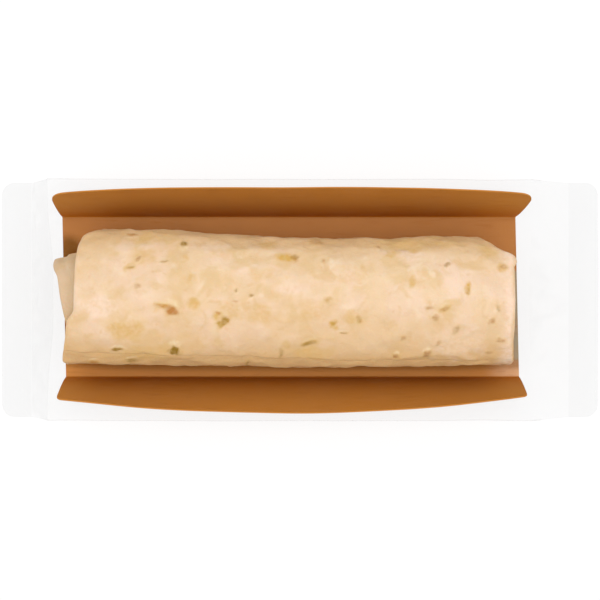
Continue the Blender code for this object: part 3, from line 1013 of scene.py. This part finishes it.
def tuck_ring(turn, share, inset=0.0):
    """A ring round the tuck, at a share of its length from its end face to its root in the roll."""
    angle = 2 * math.pi * turn - math.pi / 2
    swell = TUCK_TAPER * share - inset
    y = TUCK_MIDDLE[0] + (TUCK_HALF_WIDTH + swell) * np.cos(angle)
    z = TUCK_MIDDLE[1] + (TUCK_HALF_HEIGHT + swell) * np.sin(angle)
    end = curve_through(TUCK_END, y) + RIM_RADIUS * smooth(share * 50)
    x = mix(end, TUCK_ROOT_X, share)
    wave = TUCK_LAYER_WAVE * soft_noise(stack(0.0, y, z), TUCK_LAYER_WAVE_SIZE, 41)
    layer = TUCK_LAYER * smooth((x - end - TUCK_LAYER_SETBACK - wave) / 0.0008)
    height = 0.8 * tortilla_relief(stack(x, y, z)) + layer
    return stack(x, y + height * np.cos(angle), z + height * np.sin(angle))


def tuck_object():
    """The inner turns of the roll that stick out of its left end."""
    turn = np.linspace(0, 1, TUCK_AROUND, endpoint=False)[None, :]
    shares = np.linspace(0.02, 1, TUCK_ALONG)[:, None]
    rim = round_rim(lambda inset: tuck_ring(turn, np.zeros((1, 1)), inset), -1)
    face, groove = spiral_face(
        rim[:1], turn, TUCK_MIDDLE, TUCK_HALF_HEIGHT, -1, lambda y: curve_through(TUCK_END, y)
    )
    made, points = ring_body("wrap_tuck", np.concatenate([face[::-1], rim, tuck_ring(turn, shares)]))
    groove = np.append(groove[::-1].ravel(), np.zeros(len(points) - groove.size))
    # Painted shade over the whole tuck, deeper in its hollows and grooves
    hollow_shade = smooth(0.6 - tortilla_relief(points) / RELIEF_RANGE)
    for name in ("rose", "straw", "olive", "brown", "pale_tone_and_lip_highlight"):
        add_attribute(made, name, np.zeros(len(points)))
    # Painted shade in rust colour down the tuck's end grooves
    add_attribute(made, "rust", GROOVE_SHADE * groove)
    on_side = np.arange(len(points)) >= face[..., 0].size
    # Painted shade on the tuck's sides
    add_attribute(made, "flank_shade", 0.3 * ~on_side)
    # Painted shade on top of the tuck, deepest beside the roll
    upper = smooth((points[:, 2] - TUCK_MIDDLE[1]) / 0.010)
    by_roll = smooth((points[:, 0] - TUCK_SHADE_FROM_X) / TUCK_SHADE_RUN)
    add_attribute(made, "tuck_shade", (TUCK_SHADE + TUCK_SHADE_BY_ROLL * by_roll) * on_side * upper)
    add_attribute(made, "hollow_shade", np.maximum(0.3 + 0.4 * hollow_shade, groove))
    return made


# ---- materials


def new_material(name):
    material = bpy.data.materials.new(name)
    material.use_nodes = True
    tree = material.node_tree
    return material, tree, tree.nodes["Principled BSDF"]


def noise_node(tree, scale, detail=2.0, roughness=0.5, stretch=None, distortion=0.0):
    """A noise texture on the object's own coordinates, in metres."""
    made = tree.nodes.new("ShaderNodeTexNoise")
    made.inputs["Scale"].default_value = scale
    made.inputs["Detail"].default_value = detail
    made.inputs["Roughness"].default_value = roughness
    made.inputs["Distortion"].default_value = distortion
    place = tree.nodes.new("ShaderNodeTexCoord")
    if stretch is None:
        tree.links.new(place.outputs["Object"], made.inputs["Vector"])
    else:
        mapping = tree.nodes.new("ShaderNodeMapping")
        mapping.inputs["Scale"].default_value = stretch
        tree.links.new(place.outputs["Object"], mapping.inputs["Vector"])
        tree.links.new(mapping.outputs["Vector"], made.inputs["Vector"])
    return made.outputs["Fac"]


def ramp(tree, value, low, high, to_low=0.0, to_high=1.0):
    made = tree.nodes.new("ShaderNodeMapRange")
    made.interpolation_type = "SMOOTHSTEP"
    made.inputs["From Min"].default_value = low
    made.inputs["From Max"].default_value = high
    made.inputs["To Min"].default_value = to_low
    made.inputs["To Max"].default_value = to_high
    tree.links.new(value, made.inputs["Value"])
    return made.outputs["Result"]


def blend_colour(tree, share, first, second):
    """Mixes two colours, each a node's output or an (r, g, b), by a share from a node."""
    made = tree.nodes.new("ShaderNodeMix")
    made.data_type = "RGBA"
    tree.links.new(share, made.inputs[0])
    for socket, colour in ((made.inputs[6], first), (made.inputs[7], second)):
        if isinstance(colour, tuple):
            socket.default_value = (*colour, 1.0)
        else:
            tree.links.new(colour, socket)
    return made.outputs[2]


def math_node(tree, operation, first, second):
    made = tree.nodes.new("ShaderNodeMath")
    made.operation = operation
    for socket, value in zip(made.inputs, (first, second)):
        if isinstance(value, (int, float)):
            socket.default_value = value
        else:
            tree.links.new(value, socket)
    return made.outputs[0]


def scaled(tree, value, factor):
    return math_node(tree, "MULTIPLY", value, factor)


def bump(tree, height, strength, distance, shader):
    made = tree.nodes.new("ShaderNodeBump")
    made.inputs["Strength"].default_value = strength
    made.inputs["Distance"].default_value = distance
    tree.links.new(height, made.inputs["Height"])
    tree.links.new(made.outputs["Normal"], shader.inputs["Normal"])


def attribute_value(tree, name):
    made = tree.nodes.new("ShaderNodeAttribute")
    made.attribute_name = name
    return made.outputs["Fac"]


def tortilla_material():
    material, tree, shader = new_material("tortilla")
    cream = (0.690, 0.505, 0.325)
    blush = (0.712, 0.528, 0.385)
    wheat = (0.630, 0.440, 0.235)
    pale_tone_and_lip_highlight = (0.750, 0.598, 0.440)
    dip = (0.590, 0.385, 0.190)
    flank_shade_colour = (0.570, 0.345, 0.150)
    tuck_shade = (0.420, 0.290, 0.155)
    tan = (0.560, 0.290, 0.105)
    stains = {
        "rose": (0.765, 0.580, 0.455),
        "straw": (0.555, 0.330, 0.080),
        # Painted highlight on the lips of pits
        "pale_tone_and_lip_highlight": (0.760, 0.620, 0.400),
        "rust": (0.400, 0.165, 0.030),
        "brown": (0.370, 0.190, 0.065),
        "olive": (0.230, 0.120, 0.002),
    }
    colour = blend_colour(tree, ramp(tree, noise_node(tree, 62, 2), 0.42, 0.62), cream, blush)
    wander = noise_node(tree, 95, 3, distortion=0.5)
    colour = blend_colour(tree, ramp(tree, wander, 0.46, 0.66, 0, 0.9), colour, wheat)
    patches = noise_node(tree, 130, 3, 0.5, distortion=0.4)
    colour = blend_colour(tree, ramp(tree, patches, 0.54, 0.70, 0, 0.6), colour, pale_tone_and_lip_highlight)
    blotches = noise_node(tree, 150, 3, 0.5, distortion=0.8)
    colour = blend_colour(tree, ramp(tree, blotches, 0.56, 0.72, 0, 0.45), colour, dip)
    # Painted shade in the hollows of the relief and in the end grooves, in the same dip colour as the
    # random blotches
    colour = blend_colour(tree, scaled(tree, attribute_value(tree, "hollow_shade"), 0.55), colour, dip)
    # Painted shade low on the roll's sides, on its near side and on the tuck's sides
    colour = blend_colour(tree, attribute_value(tree, "flank_shade"), colour, flank_shade_colour)
    # Painted shade on the tuck
    colour = blend_colour(tree, attribute_value(tree, "tuck_shade"), colour, tuck_shade)
    flecks = noise_node(tree, 420, 2)
    colour = blend_colour(tree, ramp(tree, flecks, 0.66, 0.78, 0, 0.25), colour, tan)
    ragged = ramp(tree, noise_node(tree, 650, 3), 0.35, 0.65, 0.90, 1.50)
    for name, stain in stains.items():
        share = math_node(tree, "MULTIPLY", attribute_value(tree, name), ragged)
        colour = blend_colour(tree, share, colour, stain)
    tree.links.new(colour, shader.inputs["Base Color"])

    grain = noise_node(tree, 1500, 2)
    tree.links.new(ramp(tree, grain, 0.3, 0.7, 0.5, 0.66), shader.inputs["Roughness"])
    shader.inputs["Subsurface Weight"].default_value = 0.25
    shader.inputs["Subsurface Radius"].default_value = (1.0, 0.5, 0.25)
    shader.inputs["Subsurface Scale"].default_value = 0.0025
    shader.inputs["Specular IOR Level"].default_value = 0.3
    relief = math_node(tree, "ADD", noise_node(tree, 330, 4, 0.55), scaled(tree, grain, 0.3))
    bump(tree, relief, 0.5, 0.0008, shader)
    return material


def kraft_material():
    """Brown card with painted light and shade: walls in a warmer copy of the card, deepest in the crease,
    and a floor that is lit lighter and paler, or carries painted shadow and grey painted shadow, where
    the tray's attributes say."""
    material, tree, shader = new_material("kraft_card")
    far_floor = (0.402, 0.166, 0.049)
    lit_near_floor = (0.550, 0.232, 0.058)
    shadowed_floor = (0.130, 0.045, 0.003)
    lit_pale_floor = (0.640, 0.365, 0.195)
    end_shadow_floor = (0.330, 0.275, 0.190)
    # Painted light and shade: the walls get their own warmer copy of the card colour, darkest at the
    # crease
    wall = (0.466, 0.184, 0.030)
    crease_shade = (0.420, 0.120, 0.004)
    light = (0.47, 0.20, 0.055)
    dark = (0.30, 0.095, 0.012)
    # Painted light: the floor is lighter past the wrap's near side and paler still at its right end
    floor = blend_colour(tree, attribute_value(tree, "near"), far_floor, lit_near_floor)
    floor = blend_colour(tree, attribute_value(tree, "lit_paler"), floor, lit_pale_floor)
    # Painted shadow beside the wrap's near side and by its tuck
    floor = blend_colour(tree, attribute_value(tree, "painted_shadow"), floor, shadowed_floor)
    # Painted grey shadow at the floor's right end, beside the wrap
    floor = blend_colour(tree, attribute_value(tree, "end_shadow"), floor, end_shadow_floor)
    # Painted shade on the walls, deepest at the crease
    colour = blend_colour(tree, attribute_value(tree, "wall"), floor, wall)
    colour = blend_colour(tree, ramp(tree, attribute_value(tree, "crease_shade"), 0.25, 1.0), colour, crease_shade)
    mottle = noise_node(tree, 70, 4, 0.6)
    colour = blend_colour(tree, ramp(tree, mottle, 0.35, 0.75, 0, 0.3), colour, light)
    fibres = noise_node(tree, 900, 4, 0.65, stretch=(0.12, 1.0, 1.0), distortion=0.4)
    colour = blend_colour(tree, ramp(tree, fibres, 0.52, 0.72, 0, 0.35), colour, dark)
    cross = noise_node(tree, 1100, 3, 0.6, stretch=(1.0, 0.16, 0.3), distortion=0.6)
    colour = blend_colour(tree, ramp(tree, cross, 0.6, 0.8, 0, 0.3), colour, light)
    tree.links.new(colour, shader.inputs["Base Color"])
    tree.links.new(ramp(tree, mottle, 0.3, 0.7, 0.78, 0.9), shader.inputs["Roughness"])
    shader.inputs["Specular IOR Level"].default_value = 0.06
    bump(tree, math_node(tree, "ADD", fibres, cross), 0.3, 0.00012, shader)
    return material


def film_material():
    material, tree, shader = new_material("clear_film")
    tint = noise_node(tree, 30, 3)
    colour = blend_colour(tree, tint, (0.028, 0.029, 0.030), (0.036, 0.037, 0.038))
    tree.links.new(ramp(tree, tint, 0.3, 0.7, 0.08, 0.16), shader.inputs["Roughness"])
    # Painted sheen: the film's colour is lighter where it is seen at a grazing angle
    facing = tree.nodes.new("ShaderNodeLayerWeight")
    facing.inputs["Blend"].default_value = 0.5
    painted_sheen = ramp(tree, facing.outputs["Facing"], 0.50, 0.85)
    tree.links.new(blend_colour(tree, painted_sheen, colour, (0.50, 0.505, 0.51)), shader.inputs["Base Color"])
    alpha = ramp(tree, facing.outputs["Facing"], 0.58, 1.0, 0.026, 0.36)
    sealed = scaled(tree, attribute_value(tree, "sealed"), 0.018)
    tree.links.new(math_node(tree, "ADD", alpha, sealed), shader.inputs["Alpha"])
    return material


def floor_material():
    material, tree, shader = new_material("studio_floor")
    cloud = noise_node(tree, 3, 2)
    colour = blend_colour(tree, cloud, (0.15, 0.15, 0.15), (0.16, 0.16, 0.16))
    tree.links.new(colour, shader.inputs["Base Color"])
    shader.inputs["Roughness"].default_value = 0.9
    shader.inputs["Emission Color"].default_value = (1.0, 1.0, 1.0, 1.0)
    shader.inputs["Emission Strength"].default_value = FLOOR_GLOW
    return material


def give(piece, material):
    piece.data.materials.clear()
    piece.data.materials.append(material)
    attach(piece, "root")


# ---- stage


def add_floor():
    points = [(x * FLOOR_REACH, y * FLOOR_REACH, 0.0) for x, y in ((-1, -1), (1, -1), (1, 1), (-1, 1))]
    floor = mesh_from("studio_floor", points, [(0, 1, 2, 3)])
    floor.location.z = -FLOOR_DROP
    floor.data.materials.append(floor_material())


def add_light(name, place, size, power):
    data = bpy.data.lights.new(name, "AREA")
    data.shape = "DISK"
    data.size = size
    data.energy = power
    made = bpy.data.objects.new(name, data)
    made.location = place
    made.rotation_euler = (-Vector(place)).to_track_quat("-Z", "Y").to_euler()
    bpy.context.scene.collection.objects.link(made)


def add_world(strength):
    world = bpy.data.worlds.new("studio")
    world.use_nodes = True
    background = world.node_tree.nodes["Background"]
    background.inputs["Color"].default_value = (1.0, 1.0, 1.0, 1.0)
    background.inputs["Strength"].default_value = strength
    bpy.context.scene.world = world


def add_camera():
    data = bpy.data.cameras.new("camera")
    data.sensor_width = SENSOR_WIDTH
    data.lens = SENSOR_WIDTH / 2 * CAMERA_HEIGHT / VIEW_HALF_WIDTH
    made = bpy.data.objects.new("camera", data)
    made.location = (0.0, 0.0, CAMERA_HEIGHT)
    bpy.context.scene.collection.objects.link(made)
    bpy.context.scene.camera = made


# ---- build

tortilla = tortilla_material()
film_look = film_material()

film = film_object()
give(film, film_look)
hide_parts("film_pack")
give(back_seam_object(), film_look)
give(tray_object(), kraft_material())
for wrap_piece in (roll_object(), tuck_object()):
    give(wrap_piece, tortilla)
    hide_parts("tortilla_roll")

add_floor()
add_light("key", KEY_PLACE, KEY_SIZE, KEY_POWER)
add_world(WORLD_STRENGTH)
add_camera()
bpy.context.scene.view_settings.view_transform = "Standard"
